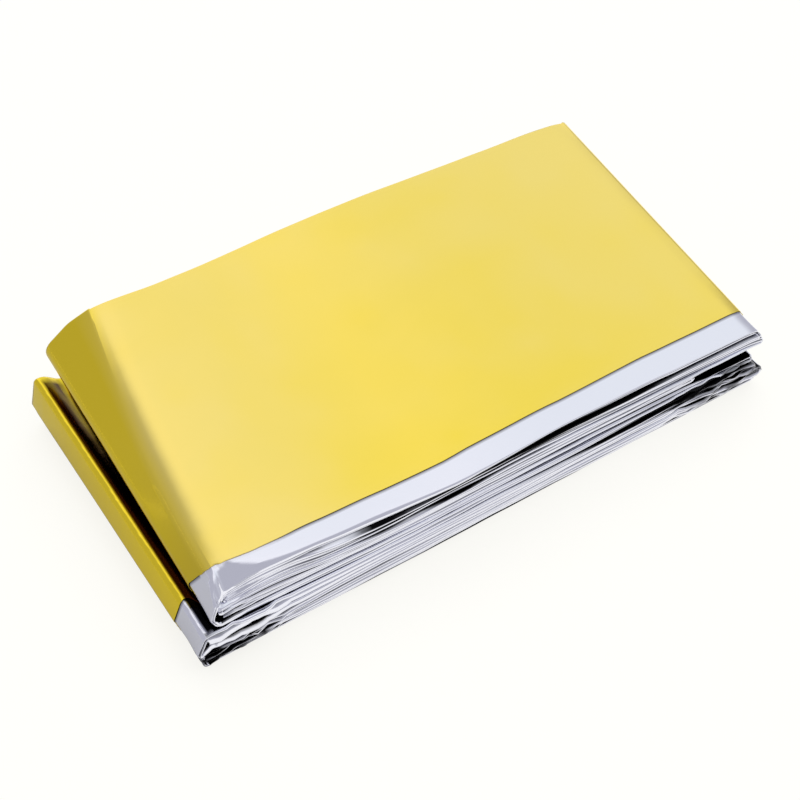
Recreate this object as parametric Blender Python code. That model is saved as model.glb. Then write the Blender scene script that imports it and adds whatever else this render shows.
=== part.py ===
"""Emergency foil blanket, folded into the flat pack that comes out of its pouch.

The blanket is one sheet of metallised film, 1.30 m by 2.10 m. It is folded lengthwise into sixteen
plies, which makes a strip about 81 mm wide, and the strip is folded back and forth into fourteen
panels. The solid is that strip: one section that goes back and forth in X and Z, carried along Y.
X is along the panels, -Y is the front, where the plies end, and Z is up. Tables are in millimetres.
"""

import bpy
import numpy as np

MM = 0.001

# Strip: sixteen plies of film with the air between them
STRIP_THICKNESS = 1.0

# Stations of the gap table along X, where x = 0 is the front left corner of the top panel
X_LEFT = -8.0
X_MIDDLE = 66.0
X_RIGHT = 143.0

# Resolution of the solid
SPANS_ALONG_Y = 6
POINTS_IN_PANEL = 8
STEPS_IN_CORNER = 4
CLEAR_OF_CORNER = 7.0

# Corner radii on the middle line of the strip
FOLD_RADIUS = 1.6
CREASE_RADIUS = 2.6
EDGE_RADIUS = 1.1

GOLD = (0.80, 0.62, 0.10, 1.0)

# Panels from the bottom up: where the middle line of the strip turns at each end, at the front and at
# the back of the pack, and where the panel's own front and back edges are
PANEL_COLUMNS = (
    "name", "left_front", "left_back", "right_front", "right_back", "front_edge", "back_edge",
)
PANEL_ROWS = (
    ("lower_1", -7.0, -6.0, 142.4, 141.5, 0.2, 79.0),
    ("lower_2", -9.2, -8.6, 142.4, 141.5, -0.2, 79.2),
    ("lower_3", -9.4, -8.8, 142.8, 142.4, -0.7, 78.9),
    ("lower_4", -10.0, -9.6, 142.8, 142.4, -0.5, 78.5),
    ("lower_5", -10.0, -9.6, 140.4, 140.6, -1.0, 78.8),
    ("lower_6", -11.4, -10.5, 139.6, 140.4, -1.3, 78.4),
    ("lower_7", -9.0, -8.9, 141.2, 140.4, -0.9, 78.2),
    ("under", -5.4, -0.6, 141.2, 140.4, -0.2, 78.0),
    ("inner_1", -4.0, 0.8, 121.8, 120.0, 0.2, 78.3),
    ("inner_2", -4.6, 1.4, 121.8, 120.0, -0.2, 78.5),
    ("inner_3", -4.6, 1.4, 142.0, 140.6, -0.5, 78.2),
    ("inner_4", -2.7, 6.2, 142.2, 140.8, 0.0, 78.4),
    ("inner_5", -2.7, 6.2, 140.8, 141.5, -0.4, 78.6),
    ("top", -2.4, 7.6, 140.4, 141.3, -0.8, 78.7),
)

# Air under each panel at the stations along X, at the front and at the back, and how far from the
# left end the left gap takes to close to the middle one
GAP_COLUMNS = (
    "name", "left_front", "middle_front", "right_front", "left_back", "middle_back", "right_back",
    "closes_in",
)
GAP_ROWS = (
    ("lower_2", 0.34, 0.72, 0.78, 0.34, 1.10, 1.10, 70.0),
    ("lower_3", 0.36, 0.80, 0.82, 0.36, 1.10, 1.10, 60.0),
    ("lower_4", 0.34, 0.60, 0.74, 0.34, 1.10, 1.10, 66.0),
    ("lower_5", 0.40, 0.75, 0.82, 0.36, 1.10, 1.10, 58.0),
    ("lower_6", 0.36, 0.62, 0.74, 0.34, 1.10, 1.10, 66.0),
    ("lower_7", 4.10, 0.55, 0.22, 7.50, 1.50, 0.60, 60.0),
    ("under", 0.50, 0.55, 0.22, 0.60, 1.10, 0.60, 70.0),
    ("inner_1", 0.65, 0.55, 0.22, 1.35, 1.10, 0.60, 60.0),
    ("inner_2", 0.68, 0.62, 0.22, 1.35, 1.10, 0.60, 66.0),
    ("inner_3", 0.68, 0.55, 0.22, 1.35, 1.10, 0.60, 60.0),
    ("inner_4", 0.68, 0.60, 0.42, 1.40, 1.15, 1.20, 66.0),
    ("inner_5", 0.70, 0.60, 0.42, 1.40, 1.15, 1.20, 58.0),
    ("top", 0.70, 1.10, 0.42, 1.45, 1.30, 1.20, 66.0),
)

# The strip's way through the pack, from the end inside it to the end on the bottom. It runs to the
# right first and turns round after every panel.
ORDER = (
    "inner_1", "inner_2", "inner_3", "inner_4", "inner_5", "top", "under",
    "lower_7", "lower_6", "lower_5", "lower_4", "lower_3", "lower_2", "lower_1",
)

# Left end of the upper bundle: the top panel slopes down past its shoulder and its side before it
# tucks in below the others
WRAP_COLUMNS = ("name", "x_front", "z_front", "x_back", "z_back", "radius")
WRAP_ROWS = (
    ("shoulder", -5.6, 21.2, 1.2, 28.9, 8.0),
    ("side", -8.1, 16.4, -6.6, 23.4, 3.2),
)


def table(columns, rows):
    """Rows by name, each a dictionary of its columns."""
    return {row[0]: dict(zip(columns[1:], row[1:])) for row in rows}


PANELS = table(PANEL_COLUMNS, PANEL_ROWS)
GAPS = table(GAP_COLUMNS, GAP_ROWS)
WRAP = table(WRAP_COLUMNS, WRAP_ROWS)


def between(front, back, v):
    """Value at v, where 0 is the front of the pack and 1 is its back."""
    return front + (back - front) * v


def ease(u):
    """0 to 1 with level ends."""
    u = np.clip(u, 0.0, 1.0)
    return u * u * (3.0 - 2.0 * u)


def gap(row, x, v):
    """Air under a panel at x."""
    left = between(row["left_front"], row["left_back"], v)
    middle = between(row["middle_front"], row["middle_back"], v)
    right = between(row["right_front"], row["right_back"], v)
    to_left = ease(1.0 - (x - X_LEFT) / row["closes_in"])
    to_right = ease((x - X_MIDDLE) / (X_RIGHT - X_MIDDLE))
    return middle + (left - middle) * to_left + (right - middle) * to_right


def height(name, x, v):
    """Height of a panel's middle line at x: every panel below it, and the air between them."""
    z = np.full_like(x, 0.5 * STRIP_THICKNESS)
    stack = list(PANELS)
    for panel in stack[1:stack.index(name) + 1]:
        z += STRIP_THICKNESS + gap(GAPS[panel], x, v)
    return z


def corner_radius(name, side):
    """Radius at which the strip turns out of or into a panel."""
    if side == "left" and name == "top":
        return CREASE_RADIUS
    if side == "left" and name in ("lower_6", "lower_7"):
        return EDGE_RADIUS
    return FOLD_RADIUS


def way_points(v):
    """Points of the middle line before its corners are rounded, each with its radius and its front
    and back edges."""
    points, radii, edges = [], [], []
    for place, name in enumerate(ORDER):
        panel = PANELS[name]
        left = between(panel["left_front"], panel["left_back"], v)
        right = between(panel["right_front"], panel["right_back"], v)
        inside = np.linspace(left + CLEAR_OF_CORNER, right - CLEAR_OF_CORNER, POINTS_IN_PANEL)
        x = np.concatenate([[left], inside, [right]])
        radius = np.zeros(len(x))
        radius[0] = corner_radius(name, "left")
        radius[-1] = corner_radius(name, "right")
        z = height(name, x, v)
        if place % 2:
            x, z, radius = x[::-1], z[::-1], radius[::-1]
        points.append(np.stack([x, z], axis=1))
        radii.append(radius)
        edges.append(np.tile([panel["front_edge"], panel["back_edge"]], (len(x), 1)))
        for turn in WRAP.values() if name == "top" else ():
            x = between(turn["x_front"], turn["x_back"], v)
            z = between(turn["z_front"], turn["z_back"], v)
            points.append(np.array([[x, z]]))
            radii.append(np.array([turn["radius"]]))
            edges.append(edges[-1][:1])
    radii = np.concatenate(radii)
    radii[[0, -1]] = 0.0
    return np.concatenate(points), radii, np.concatenate(edges)


def rounded(points, radii, edges):
    """The line with an arc at each corner that has a radius. The arc takes up less than half of the
    shorter side, so that two corners close together still leave each other room."""
    line, sides = [], []
    for i, point in enumerate(points):
        if not radii[i]:
            line.append(point)
            sides.append(edges[i])
            continue
        back, ahead = points[i - 1] - point, points[i + 1] - point
        reach = np.array([np.hypot(*back), np.hypot(*ahead)])
        back, ahead = back / reach[0], ahead / reach[1]
        half_turn = 0.5 * (np.pi - np.arccos(np.clip(back @ ahead, -1.0, 1.0)))
        cut = min(radii[i] * np.tan(half_turn), 0.49 * reach.min())
        radius = cut / np.tan(half_turn)
        centre = point + (back + ahead) / np.hypot(*(back + ahead)) * radius / np.cos(half_turn)
        begin, end = point + back * cut - centre, point + ahead * cut - centre
        for step in range(STEPS_IN_CORNER + 1):
            u = step / STEPS_IN_CORNER
            angle = 2.0 * half_turn
            arm = (np.sin((1.0 - u) * angle) * begin + np.sin(u * angle) * end) / np.sin(angle)
            line.append(centre + arm)
            sides.append(edges[i])
    return np.array(line), np.array(sides)


def offsets(line):
    """Steps from the middle line to the gold face of the strip, mitred so that its thickness holds."""
    along = np.diff(line, axis=0)
    along = along / np.hypot(along[:, 0], along[:, 1])[:, None]
    across = np.stack([along[:, 1], -along[:, 0]], axis=1)
    before = np.concatenate([across[:1], across])
    after = np.concatenate([across, across[-1:]])
    middle = before + after
    middle = middle / np.hypot(middle[:, 0], middle[:, 1])[:, None]
    return middle * (0.5 * STRIP_THICKNESS / (middle * before).sum(axis=1))[:, None]


def eased_along(values, line):
    """Edge positions drifting from panel to panel instead of jumping at a corner."""
    run = np.concatenate([[0.0], np.cumsum(np.hypot(*np.diff(line, axis=0).T))])
    grid = np.arange(0.0, run[-1], 1.0)
    stepped = np.interp(grid, run, values)
    kernel = np.hanning(41)
    kernel /= kernel.sum()
    smooth = np.convolve(np.pad(stepped, 20, mode="edge"), kernel, mode="valid")
    return np.interp(run, grid, smooth)


def section(v):
    """Gold and silver faces of the strip at v, as points in X, Y and Z."""
    line, sides = rounded(*way_points(v))
    step = offsets(line)
    y = between(eased_along(sides[:, 0], line), eased_along(sides[:, 1], line), v)
    gold = np.column_stack([line[:, 0] + step[:, 0], y, line[:, 1] + step[:, 1]])
    silver = np.column_stack([line[:, 0] - step[:, 0], y, line[:, 1] - step[:, 1]])
    return gold, silver


def strip_mesh():
    """Vertices and faces of the closed strip: its two faces, its two ends and its front and back edges."""
    rings = []
    for v in np.linspace(0.0, 1.0, SPANS_ALONG_Y + 1):
        gold, silver = section(v)
        rings.append(np.concatenate([gold, silver[::-1]]))
    count = len(rings[0])
    half = count // 2
    points = np.concatenate(rings)
    points[:, :2] -= 0.5 * (points[:, :2].max(axis=0) + points[:, :2].min(axis=0))
    faces = []
    for row in range(SPANS_ALONG_Y):
        for i in range(count):
            j = (i + 1) % count
            a, b = row * count, (row + 1) * count
            faces.append((a + i, b + i, b + j, a + j))
    last = SPANS_ALONG_Y * count
    for i in range(half - 1):
        j = count - 1 - i
        faces.append((i, i + 1, j - 1, j))
        faces.append((last + j, last + j - 1, last + i + 1, last + i))
    return points * MM, faces


def material(name, colour):
    """Bright metallised film of one colour."""
    made = bpy.data.materials.new(name)
    made.use_nodes = True
    shader = made.node_tree.nodes["Principled BSDF"]
    shader.inputs["Base Color"].default_value = colour
    shader.inputs["Metallic"].default_value = 1.0
    shader.inputs["Roughness"].default_value = 0.25
    return made


def build():
    """Clears the scene and makes the blanket."""
    for obj in list(bpy.data.objects):
        bpy.data.objects.remove(obj)
    points, faces = strip_mesh()
    mesh = bpy.data.meshes.new("foil_blanket")
    mesh.from_pydata(points.tolist(), [], faces)
    mesh.update()
    blanket = bpy.data.objects.new("foil_blanket", mesh)
    bpy.context.scene.collection.objects.link(blanket)
    mesh.materials.append(material("gold_film", GOLD))


build()
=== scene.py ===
# %% [markdown]
# # A folded emergency foil blanket
# The blanket is one sheet of polyester film, thinner than a hair, with aluminium on both faces and a
# gold lacquer over one of them. It comes folded lengthwise into a narrow strip of sixteen plies, and
# the strip goes back and forth into a flat pack. This lesson builds the pack as one long ribbon that
# follows those folds, and then gives it mirror-bright film.

import bpy
import numpy as np
from mathutils import Matrix


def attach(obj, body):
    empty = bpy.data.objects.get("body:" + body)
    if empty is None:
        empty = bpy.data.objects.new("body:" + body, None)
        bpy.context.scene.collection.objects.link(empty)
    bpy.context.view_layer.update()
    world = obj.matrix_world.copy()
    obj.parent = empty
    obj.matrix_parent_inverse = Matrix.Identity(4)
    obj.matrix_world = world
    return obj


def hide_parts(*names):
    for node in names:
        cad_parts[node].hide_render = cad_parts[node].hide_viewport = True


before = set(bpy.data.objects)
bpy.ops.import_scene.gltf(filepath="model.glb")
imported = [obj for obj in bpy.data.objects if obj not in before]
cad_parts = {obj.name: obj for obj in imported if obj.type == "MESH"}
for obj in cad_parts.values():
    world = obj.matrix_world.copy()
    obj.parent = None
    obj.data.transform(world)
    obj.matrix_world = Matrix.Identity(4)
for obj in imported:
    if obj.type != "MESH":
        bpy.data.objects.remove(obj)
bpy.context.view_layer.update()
MM = 0.001
CENTRE = (66.01, 38.95)  # middle of the pack in the tables' millimetres

# %% [markdown]
# ## The panels
# The strip goes back and forth in fourteen panels. Each has a row with the places, in millimetres,
# where the strip turns at its left and right end, in front and at the back, and where its two long
# edges lie. A person folding the strip by hand never meets the same place twice, so no two are alike.

# %% Panels
STRIP_THICKNESS = 1.0
PANEL_COLUMNS = (
    "name", "left_front", "left_back", "right_front", "right_back", "front_edge", "back_edge",
)
PANEL_ROWS = (
    ("lower_1", -7.0, -6.0, 143.2, 141.5, 0.2, 79.0),
    ("lower_2", -9.2, -8.6, 143.2, 141.5, -0.2, 79.2),
    ("lower_3", -9.4, -8.8, 143.8, 142.4, -0.7, 78.9),
    ("lower_4", -10.0, -9.6, 143.8, 142.4, -0.5, 78.5),
    ("lower_5", -10.0, -9.6, 140.8, 140.6, -1.0, 78.8),
    ("lower_6", -11.4, -10.5, 140.4, 140.4, -1.3, 78.4),
    ("lower_7", -9.0, -8.9, 139.6, 140.4, -0.9, 78.2),
    ("under", -5.4, -0.6, 139.6, 140.4, -0.2, 78.0),
    ("inner_1", -4.0, 0.8, 121.8, 120.0, 0.2, 78.3),
    ("inner_2", -4.6, 1.4, 121.8, 120.0, -0.2, 78.5),
    ("inner_3", -4.6, 1.4, 142.3, 140.6, -0.5, 78.2),
    ("inner_4", -2.7, 6.2, 142.5, 140.8, 0.0, 78.4),
    ("inner_5", -2.7, 6.2, 140.8, 141.5, -0.4, 78.6),
    ("top", -2.4, 7.6, 140.4, 141.3, -0.8, 78.7),
)


def table(columns, rows):
    """Rows by name, each a dictionary of its columns."""
    return {row[0]: dict(zip(columns[1:], row[1:])) for row in rows}


PANELS = table(PANEL_COLUMNS, PANEL_ROWS)
STACK = list(PANELS)
print(len(STACK), "panels, from", STACK[0], "at the bottom to", STACK[-1])

# %% [markdown]
# ## The air between them
# A foil blanket is springy, so the air between two panels is thick where a fold stands open and thin
# where the pack is pressed. Each row is the air under one panel at its left, middle and right, in
# front and at the back. A panel's height is added up from these, so no panel can run into the next.

# %% Air under each panel
X_LEFT, X_MIDDLE, X_RIGHT = -8.0, 66.0, 143.0
GAP_COLUMNS = (
    "name", "left_front", "middle_front", "right_front", "left_back", "middle_back", "right_back",
    "closes_in",
)
GAP_ROWS = (
    ("lower_2", 0.34, 0.72, 0.78, 0.34, 1.10, 1.10, 70.0),
    ("lower_3", 0.36, 0.80, 0.82, 0.36, 1.10, 1.10, 60.0),
    ("lower_4", 0.34, 0.60, 0.74, 0.34, 1.10, 1.10, 66.0),
    ("lower_5", 0.40, 0.75, 0.82, 0.36, 1.10, 1.10, 58.0),
    ("lower_6", 0.36, 0.62, 0.74, 0.34, 1.10, 1.10, 66.0),
    ("lower_7", 4.10, 0.55, 0.22, 7.50, 1.50, 0.60, 60.0),
    ("under", 0.50, 0.55, 0.22, 0.60, 1.10, 0.60, 70.0),
    ("inner_1", 0.65, 0.55, 0.22, 1.35, 1.10, 0.60, 60.0),
    ("inner_2", 0.68, 0.62, 0.22, 1.35, 1.10, 0.60, 66.0),
    ("inner_3", 0.68, 0.55, 0.22, 1.35, 1.10, 0.60, 60.0),
    ("inner_4", 0.68, 0.60, 0.42, 1.40, 1.15, 1.20, 66.0),
    ("inner_5", 0.70, 0.60, 0.42, 1.40, 1.15, 1.20, 58.0),
    ("top", 0.70, 1.10, 0.42, 1.45, 1.30, 1.20, 66.0),
)
GAPS = table(GAP_COLUMNS, GAP_ROWS)
print(len(GAPS), "layers of air, the widest", max(row["left_back"] for row in GAPS.values()), "mm")

# %% [markdown]
# ## The way through the pack
# The strip starts inside the upper bundle, goes back and forth up to the top panel, wraps down round
# the bundle's left end, runs right below it, and then goes down through the lower bundle. The wrap
# has two turns of its own: a wide soft shoulder, and a tighter bend lower down at the side.

# %% Order and wrap
ORDER = (
    "inner_1", "inner_2", "inner_3", "inner_4", "inner_5", "top", "under",
    "lower_7", "lower_6", "lower_5", "lower_4", "lower_3", "lower_2", "lower_1",
)
WRAP_COLUMNS = ("name", "x_front", "z_front", "x_back", "z_back", "radius")
WRAP_ROWS = (
    ("shoulder", -5.2, 21.2, 1.2, 28.9, 8.0),
    ("side", -7.0, 16.4, -6.6, 23.4, 3.2),
)
WRAP = table(WRAP_COLUMNS, WRAP_ROWS)
print("from", ORDER[0], "by", ORDER[5], "to", ORDER[-1], "with", len(WRAP), "turns in the wrap")

# %% [markdown]
# ## How high a panel lies
# A panel's height is the sum of all that is below it. Three soft bends come on top: the topmost lower
# panel dips behind its rim into the open loop, the top panel bends down before its crease, and the
# long upper panels hang a little at their right end, where nothing holds them up.

# %% Heights
RIM_DIP_FRONT, RIM_DIP_BACK = 0.5, 3.2
CREASE_TO_LEFT, CREASE_BOW = 1.2, 8.0


def between(front, back, v):
    """front + (back - front) * v, where v is 0 at the front of the pack and 1 at its back."""
    return front + (back - front) * v


def ease(u):
    """3u² - 2u³ for u from 0 to 1: rises with level ends."""
    u = np.clip(u, 0.0, 1.0)
    return u * u * (3.0 - 2.0 * u)


def gap(name, x, v):
    """Air under a panel: the middle value, eased to the left one near the left end and to the right
    one towards the right end."""
    row = GAPS[name]
    left = between(row["left_front"], row["left_back"], v)
    middle = between(row["middle_front"], row["middle_back"], v)
    right = between(row["right_front"], row["right_back"], v)
    to_left = ease(1.0 - (x - X_LEFT) / row["closes_in"])
    to_right = ease((x - X_MIDDLE) / (X_RIGHT - X_MIDDLE))
    return middle + (left - middle) * to_left + (right - middle) * to_right


def crease_at(v):
    """Where the top panel's crease is: a straight line from front to back, 1.2 mm to the left of the
    table's, that bows to the left by 8v(1 - v) on the way."""
    top = PANELS["top"]
    return between(top["left_front"], top["left_back"], v) - CREASE_TO_LEFT - CREASE_BOW * v * (1.0 - v)


def height(name, x, v):
    """Height of a panel's middle: half a thickness, then one thickness and one gap per panel below,
    less the bend of that panel: the rim's dip eased in and out, and squares of the distance from
    where a crease or a right end begins."""
    z = np.full(np.broadcast(x, v).shape, 0.5 * STRIP_THICKNESS)
    for panel in STACK[1:STACK.index(name) + 1]:
        z = z + STRIP_THICKNESS + gap(panel, x, v)
    if name == "lower_7":
        z = z - between(RIM_DIP_FRONT, RIM_DIP_BACK, v) * ease((x + 8.0) / 5.0) * ease((42.0 - x) / 36.0)
    if name == "top":
        z = z - (0.5 + 2.8 * v * (1.0 - v)) * np.clip(1.0 - (x - crease_at(v)) / 6.0, 0.0, 1.0) ** 2
    if name in ("inner_3", "inner_4", "inner_5", "top"):
        z = z - 0.5 * np.clip((x - 136.0) / 5.0, 0.0, 1.2) ** 2
    return z


top_heights = height("top", np.array([7.0, 66.0, 140.0]), 0.0)
print("top panel's middle in front:", np.round(top_heights, 1), "mm high")

# %% [markdown]
# ## Where the strip turns
# Seen from the front the strip is a line that runs right, turns, runs left, and so on. The line is
# worked out at nine stations from front to back at once, because every corner moves a little between
# them. The ends of a panel get more points than its middle, as all the bending is there.

# %% Turns
STATIONS = np.linspace(0.0, 1.0, 9)
POINTS_IN_PANEL = 74
STEPS_IN_CORNER = 8
FOLD_RADIUS, CREASE_RADIUS, EDGE_RADIUS = 1.6, 3.0, 1.1


def corner_radius(name, side):
    """Radius at which the strip turns out of or into a panel."""
    if side == "left" and name == "top":
        return CREASE_RADIUS
    if side == "left" and name in ("lower_6", "lower_7"):
        return EDGE_RADIUS
    return FOLD_RADIUS


def spread(count, crowd=0.7):
    """u - crowd * sin(2πu) / 2π: points from 0 to 1 that stand closer together near both ends."""
    u = np.linspace(0.0, 1.0, count)
    return u - crowd * np.sin(2.0 * np.pi * u) / (2.0 * np.pi)


steps = np.diff(spread(POINTS_IN_PANEL)) * 140.0
print("first and middle step of a panel:", np.round(steps[[0, 36]], 2), "mm")

# %% [markdown]
# ## Corners and points between them
# Panels with an even number run to the right and the others to the left, so every second one is laid
# down the other way round. The wrap's two turns follow the top panel.

# %% Way points


def way_points():
    """Corners and inner points of the middle line at every station, as (station, point, x and z), with
    each point's radius and the number of its panel on the way."""
    v = STATIONS[:, None]
    points, radii, owners = [], [], []
    for number, name in enumerate(ORDER):
        row = PANELS[name]
        left = crease_at(v) if name == "top" else between(row["left_front"], row["left_back"], v)
        right = between(row["right_front"], row["right_back"], v)
        clear = {"top": 1.8, "lower_7": 1.2}.get(name, 3.0)
        inside = (left + clear) + (right - left - clear - 3.0) * spread(POINTS_IN_PANEL)
        x = np.concatenate([left, inside, right], axis=1)
        radius = np.zeros(x.shape[1])
        radius[0], radius[-1] = corner_radius(name, "left"), corner_radius(name, "right")
        way = np.stack([x, height(name, x, v)], axis=2)
        if number % 2:
            way, radius = way[:, ::-1], radius[::-1]
        points.append(way)
        radii.append(radius)
        owners.append(np.full(len(radius), number))
        for turn in WRAP.values() if name == "top" else ():
            x = between(turn["x_front"], turn["x_back"], v)
            z = between(turn["z_front"], turn["z_back"], v)
            points.append(np.stack([x, z], axis=2))
            radii.append(np.array([turn["radius"]]))
            owners.append(np.array([number]))
    radii = np.concatenate(radii)
    radii[[0, -1]] = 0.0
    return np.concatenate(points, axis=1), radii, np.concatenate(owners)


CORNERED = way_points()
print(np.count_nonzero(CORNERED[1]), "corners among", len(CORNERED[1]), "way points")

# %% [markdown]
# ## Rounded folds
# Film doesn't fold to a knife edge in a springy pack. Each corner becomes an arc that just touches
# both of its sides and takes less than half of the shorter one, so a tight fold comes out as a half
# circle and a crease as a soft bend.

# %% Arcs in the corners


def length_of(steps):
    """Length of each step in an array of (..., x and z)."""
    return np.sqrt((steps ** 2).sum(axis=-1, keepdims=True))


def rounded(points, radii, owners):
    """The line with an arc at each corner: the centre is on the bisector, and the arm swings evenly
    from the first touching point to the second. Every other point is kept as it is."""
    corners = np.flatnonzero(radii)
    here = points[:, corners]
    back, ahead = points[:, corners - 1] - here, points[:, corners + 1] - here
    reach = np.minimum(length_of(back), length_of(ahead))
    back, ahead = back / length_of(back), ahead / length_of(ahead)
    half_turn = 0.5 * (np.pi - np.arccos(np.clip((back * ahead).sum(axis=2, keepdims=True), -1.0, 1.0)))
    cut = np.minimum(radii[corners][:, None] * np.tan(half_turn), 0.49 * reach)
    bisector = (back + ahead) / length_of(back + ahead)
    centre = here + bisector * cut / np.sin(half_turn)
    begin, end = here + back * cut - centre, here + ahead * cut - centre
    share = np.linspace(0.0, 1.0, STEPS_IN_CORNER + 1)[:, None]
    angle = 2.0 * half_turn[:, :, None]
    arm = np.sin((1.0 - share) * angle) * begin[:, :, None] + np.sin(share * angle) * end[:, :, None]
    arcs = centre[:, :, None] + arm / np.sin(angle)
    repeats = np.where(radii > 0.0, STEPS_IN_CORNER + 1, 1)
    line = np.repeat(points, repeats, axis=1)
    line[:, np.repeat(radii > 0.0, repeats)] = arcs.reshape(len(points), -1, 2)
    return line, np.repeat(owners, repeats)


LINE, OWNER = rounded(*CORNERED)
X_FRONT = LINE[0, :, 0]
RUNS_RIGHT = OWNER % 2 == 0
LEVEL = np.array([STACK.index(ORDER[number]) for number in OWNER])
RUN = np.concatenate([[0.0], np.cumsum(length_of(np.diff(LINE[2], axis=0))[:, 0])])
print(LINE.shape[1], "points along", round(RUN[-1] / 1000.0, 2), "m of strip")

# %% [markdown]
# ## Which way the gold face looks
# The strip has a gold side and a silver side. Turning the line's direction by a right angle gives the
# gold one all along, so gold looks up on the panels that run left, such as the top, and down on the
# others. Where a panel lies nearly level it counts as flat.

# %% Gold side


def normals_of(line):
    """Unit steps from the line to the gold face: each segment's direction turned by a right angle,
    averaged at the points between segments."""
    along = np.diff(line, axis=1)
    along = along / length_of(along)
    across = np.stack([along[..., 1], -along[..., 0]], axis=-1)
    before = np.concatenate([across[:, :1], across], axis=1)
    after = np.concatenate([across, across[:, -1:]], axis=1)
    joined = before + after
    return joined / length_of(joined)


NORMAL = normals_of(LINE)
FLAT = np.abs(NORMAL[0, :, 1]) > 0.97
UPWARD = np.where(RUNS_RIGHT, -1.0, 1.0)
print("share of the strip that lies flat:", round(float(FLAT.mean()), 2))

# %% [markdown]
# ## Unevenness
# No fold of thin film is straight. The waver comes from one kind of function: random values on a
# lattice, eased from one to the next. The numbers are seeded, so that the pack is the same each time.

# %% Noise


def waver(x, wave, seed):
    """Random values from -1 to 1 at every wave millimetres of x, eased in between."""
    values = np.random.default_rng(seed).uniform(-1.0, 1.0, 4096)
    u = x / wave + 512.0
    cell = np.floor(u).astype(int)
    return values[cell % 4096] + (values[(cell + 1) % 4096] - values[cell % 4096]) * ease(u - cell)


def waver_2d(x, y, wave_x, wave_y, seed):
    """The same on a lattice of x and y, eased both ways."""
    values = np.random.default_rng(seed).uniform(-1.0, 1.0, (512, 128))
    u, w = x / wave_x + 64.0, y / wave_y + 32.0
    i, j = np.floor(u).astype(int), np.floor(w).astype(int)
    near, far = ease(u - i), ease(w - j)
    low = values[i % 512, j % 128] * (1 - near) + values[(i + 1) % 512, j % 128] * near
    high = values[i % 512, (j + 1) % 128] * (1 - near) + values[(i + 1) % 512, (j + 1) % 128] * near
    return low * (1 - far) + high * far


sample = waver(RUN, 23.0, 5)
print("waver along the strip:", round(sample.min(), 2), "to", round(sample.max(), 2))

# %% [markdown]
# ## The sagging lip
# Near the left end the top panel's front edge has nothing under it and hangs down over the plies
# below, which give way with it, the more the nearer they are to the top. Its edge stands back there
# by up to 3 mm. Three rows say where along the edge, how far back, and how deep the lip hangs.

# %% Lip
TOP_X = (
    -10.0, -7.0, -5.5, -4.0, -2.0, 0.0, 3.0, 6.0, 14.0,
    24.0, 34.0, 44.0, 54.0, 68.0, 81.0, 109.0, 130.0, 143.0,
)
TOP_BACK = (0.2, 0.2, 0.6, 1.6, 2.9, 3.0, 2.5, 2.0, 1.6, 1.3, 1.1, 0.5, 0.0, 0.4, 0.9, 1.2, 1.0, 0.8)
LIP_DROP = (0.0, 0.0, 1.0, 3.2, 4.3, 4.1, 2.7, 1.8, 1.1, 0.9, 0.9, 0.6, 0.3, 0.0, 0.0, 0.0, 0.0, 0.0)
LIP_SLOPE = 1.05
SAG_SHARE = {"top": 1.0, "inner_5": 0.8, "inner_4": 0.6, "inner_3": 0.4, "inner_2": 0.2}
SHARES = np.array([SAG_SHARE.get(ORDER[number], 0.0) for number in OWNER])
print("the lip hangs by up to", max(LIP_DROP), "mm, with", len(SAG_SHARE) - 1, "panels below it")

# %% [markdown]
# ## Front and back edges
# The two long edges wander by a millimetre from panel to panel and by a tenth or two within each. The
# top panel and the one below it also bow out a little at the back, where the pack isn't pressed.

# %% Edges


def averaged(values, count):
    """Each value replaced by a mean of its count neighbours, weighted by a bell curve."""
    weights = np.hanning(count) / np.hanning(count).sum()
    return np.convolve(np.pad(values, count // 2, mode="edge"), weights, mode="valid")


def edge_drift(column, roughness):
    """A panel's own edge position along the strip, averaged over 40 mm so that it drifts from panel to
    panel, plus a waver of a tenth of a millimetre or two."""
    stepped = np.array([PANELS[ORDER[number]][column] for number in OWNER])
    grid = np.arange(0.0, RUN[-1] + 1.0)
    smooth = averaged(np.interp(grid, RUN, stepped), 41)
    return np.interp(RUN, grid, smooth) + roughness * (waver(RUN, 23.0, 5) + 0.5 * waver(RUN, 6.0, 6))


def edge_shift():
    """How far a panel's front edge stands back from its place in the table: the top's as its own row
    says, and near the left end the panels below it by their share of that."""
    near_left = np.where(SHARES == 1.0, 1.0, ease((26.0 - X_FRONT) / 16.0))
    return np.interp(X_FRONT, TOP_X, TOP_BACK) * SHARES * near_left


FRONT = edge_drift("front_edge", 0.12) + edge_shift()
BOW = 1.4 * ease((X_FRONT - 8.0) / 40.0) * ease((150.0 - X_FRONT) / 26.0)
BACK = edge_drift("back_edge", 0.07) + BOW * np.isin(OWNER, [ORDER.index("top"), ORDER.index("inner_5")])
WIDTH = BACK - FRONT
print("strip width in mm:", round(WIDTH.min(), 1), "to", round(WIDTH.max(), 1))

# %% [markdown]
# ## Dark lines in front
# Along the front the sixteen plies of each panel end in folded edges, and they spring apart until
# they nearly meet those of the next panel. What the eye sees is bright lips with a thin black line
# wherever air is left. Each row is the width of the line under one panel, at places along the front.

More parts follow.
